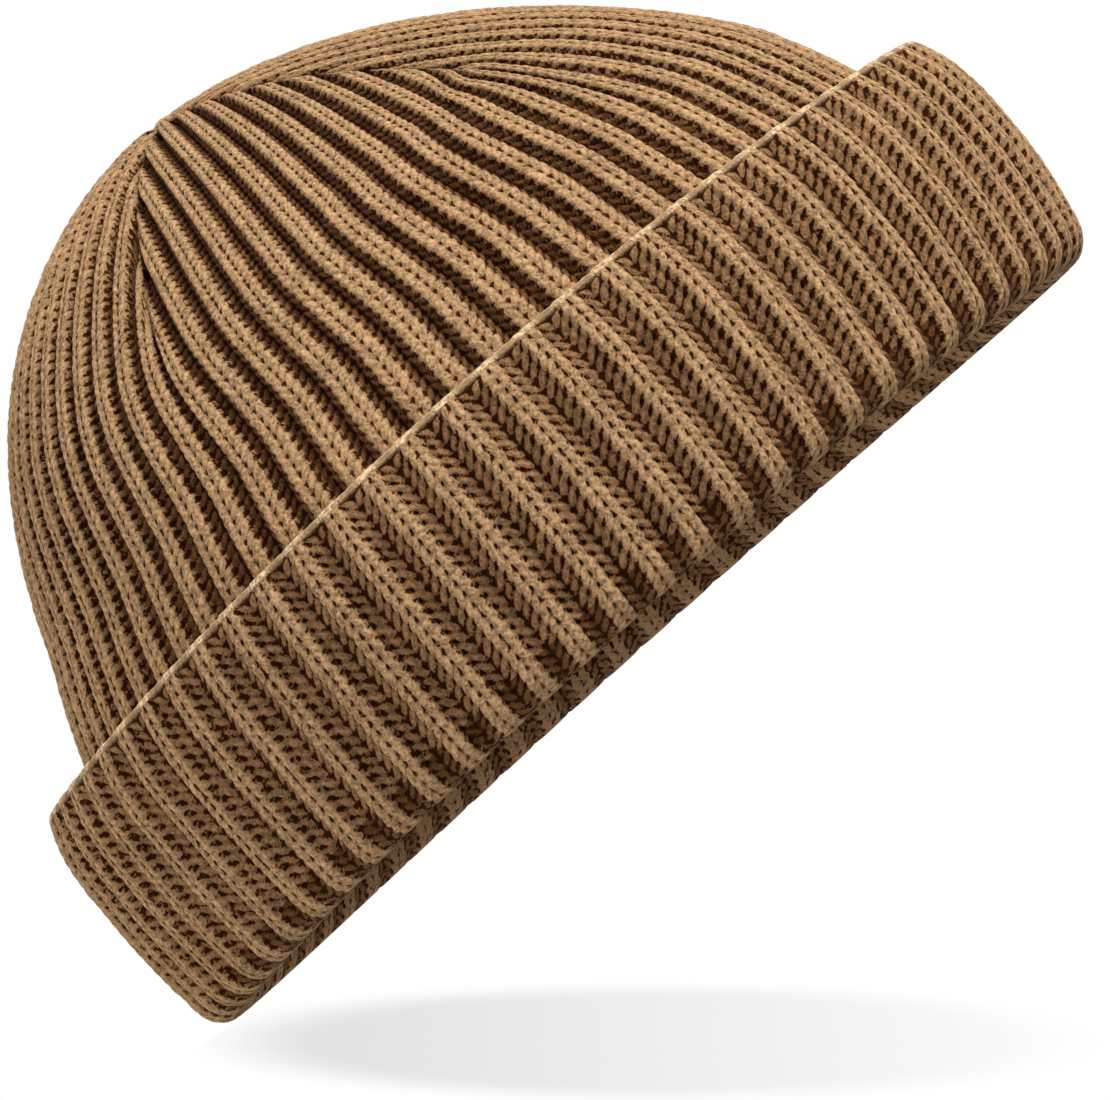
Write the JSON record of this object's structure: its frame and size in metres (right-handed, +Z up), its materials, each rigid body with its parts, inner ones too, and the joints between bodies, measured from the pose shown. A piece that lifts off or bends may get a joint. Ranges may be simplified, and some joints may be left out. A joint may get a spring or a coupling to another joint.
{
  "type": "rib-knit beanie with turned-up cuff",
  "caption": "Chunky rib-knit watch cap with a deep turned-up cuff, a crown of five gores and an open head hole. It rests on the fold of its cuff.",
  "frame": {"origin": "centre of the cap's underside, on the plane that the fold of the cuff rests on", "axes": "+Z up through the crown, -Y towards the front of the cap, +X to the right of someone who looks at its front"},
  "size_m": [0.2154, 0.2156, 0.1284],
  "materials": {
    "turn_up_knit": "matt camel-brown rib knit, raised ribs light, furrows deep brown",
    "cast_on_knit": "matt firm knitted edge, the lightest line of the cap",
    "fold_knit": "matt rib knit where it rolls under, ribs pressed together",
    "body_knit": "matt camel-brown rib knit",
    "crown_knit": "matt camel-brown rib knit, ribs cut off at the darts",
    "seam_yarn": "matt brown overcast sewing yarn"
  },
  "bodies": {
    "root": {"turn_up": "turn_up_knit", "cast_on_edge": "cast_on_knit", "fold_roll": "fold_knit", "body": "body_knit", "gore_front": "crown_knit", "gore_left": "crown_knit", "gore_back_left": "crown_knit", "gore_back_right": "crown_knit", "gore_right": "crown_knit", "dart_seam_1": "seam_yarn", "dart_seam_2": "seam_yarn", "dart_seam_3": "seam_yarn", "dart_seam_4": "seam_yarn", "dart_seam_5": "seam_yarn", "body_back_seam": "seam_yarn", "turn_up_back_seam": "seam_yarn", "crown_tie": "seam_yarn"}
  },
  "joints": []
}
